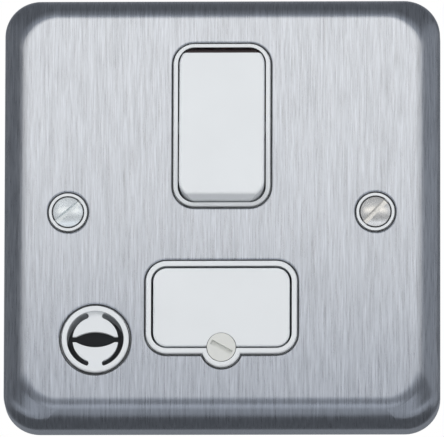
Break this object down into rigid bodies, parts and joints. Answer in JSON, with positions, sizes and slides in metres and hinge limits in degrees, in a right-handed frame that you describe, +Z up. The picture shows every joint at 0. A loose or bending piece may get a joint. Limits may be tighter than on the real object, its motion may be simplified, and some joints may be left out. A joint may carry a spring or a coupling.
{
  "type": "fused spur unit",
  "caption": "Square metal-faced wall unit with a rocker switch, a fuse drawer locked by a screw, and a round slit outlet for a flexible cord",
  "frame": {"origin": "on the wall plane, midway between the two fixing screws", "axes": "+X to the right and +Z up as seen from the room, +Y into the wall; millimetres in the source, metres in the row"},
  "size_m": [0.0856, 0.0305, 0.0856],
  "materials": {
    "brushed_plate": "brushed vertically, satin",
    "white_plastic": "white urea moulding, glossy",
    "dark_plastic": "dark moulding, matt",
    "natural_plastic": "unpainted moulding, matt",
    "brass": "pressed and turned brass, bright",
    "silver": "silver contact metal, bright",
    "spring_steel": "drawn spring steel",
    "nickel_plate": "nickel plate, bright",
    "zinc_screw": "zinc plate, bright",
    "fuse_ceramic": "ceramic tube, glazed"
  },
  "bodies": {
    "housing": {"front_plate": "brushed_plate", "front_moulding": "white_plastic", "rear_moulding": "dark_plastic", "terminal_supply_live": "brass", "fixed_tip_live": "silver", "terminal_supply_neutral": "brass", "fixed_tip_neutral": "silver", "terminal_load_neutral": "brass", "live_link": "brass", "terminal_load_live": "brass", "fuse_clip_in": "brass", "fuse_clip_out": "brass", "terminal_earth": "brass", "earth_strap": "brass", "screw_insert": "brass", "flex_outlet": "white_plastic", "cord_clamp": "dark_plastic", "fixing_screw_left": "nickel_plate", "fixing_screw_right": "nickel_plate", "terminal_screws": "brass", "clamp_screws": "zinc_screw", "case_screws": "zinc_screw", "plate_screws": "zinc_screw"},
    "rocker": {"rocker": "white_plastic", "plunger_spring_live": "spring_steel", "plunger_spring_neutral": "spring_steel"},
    "plunger_live": {"plunger_live": "natural_plastic"},
    "plunger_neutral": {"plunger_neutral": "natural_plastic"},
    "contact_live": {"moving_contact_live": "brass", "moving_tip_live": "silver"},
    "contact_neutral": {"moving_contact_neutral": "brass", "moving_tip_neutral": "silver"},
    "fuse_drawer": {"fuse_carrier": "white_plastic", "fuse_tube": "fuse_ceramic", "fuse_caps": "nickel_plate"},
    "lock_screw": {"carrier_screw": "nickel_plate", "screw_retainer": "spring_steel"}
  },
  "joints": [
    {"name": "rocker_tilt", "type": "hinge", "parent": "housing", "child": "rocker", "pos_m": [0, -0.0063, 0.0173], "axis": [1, 0, 0], "range_deg": [0, 12]},
    {"name": "contact_live_tilt", "type": "hinge", "parent": "housing", "child": "contact_live", "pos_m": [0.0044, 0.0074, 0.0173], "axis": [1, 0, 0], "range_deg": [-16.2, 0.2]},
    {"name": "contact_neutral_tilt", "type": "hinge", "parent": "housing", "child": "contact_neutral", "pos_m": [-0.0044, 0.0074, 0.0173], "axis": [1, 0, 0], "range_deg": [-16.2, 0.2]},
    {"name": "plunger_live_slide", "type": "slide", "parent": "rocker", "child": "plunger_live", "axis": [0, -0.9945, 0.1045], "range_m": [0, 0.0006], "stiffness_N_per_m": 300, "deforming": ["plunger_spring_live"]},
    {"name": "plunger_neutral_slide", "type": "slide", "parent": "rocker", "child": "plunger_neutral", "axis": [0, -0.9945, 0.1045], "range_m": [0, 0.0006], "stiffness_N_per_m": 300, "deforming": ["plunger_spring_neutral"]},
    {"name": "fuse_drawer_slide", "type": "slide", "parent": "housing", "child": "fuse_drawer", "axis": [0, -1, 0], "range_m": [0, 0.022]},
    {"name": "lock_screw_turn", "type": "hinge", "parent": "fuse_drawer", "child": "lock_screw", "pos_m": [0, 0, -0.027], "axis": [0, -1, 0], "continuous": true}
  ],
  "couplings": [
    {"joint": "contact_live_tilt", "follows": "rocker_tilt", "ratio": -1.3333},
    {"joint": "contact_neutral_tilt", "follows": "rocker_tilt", "ratio": -1.3333}
  ]
}
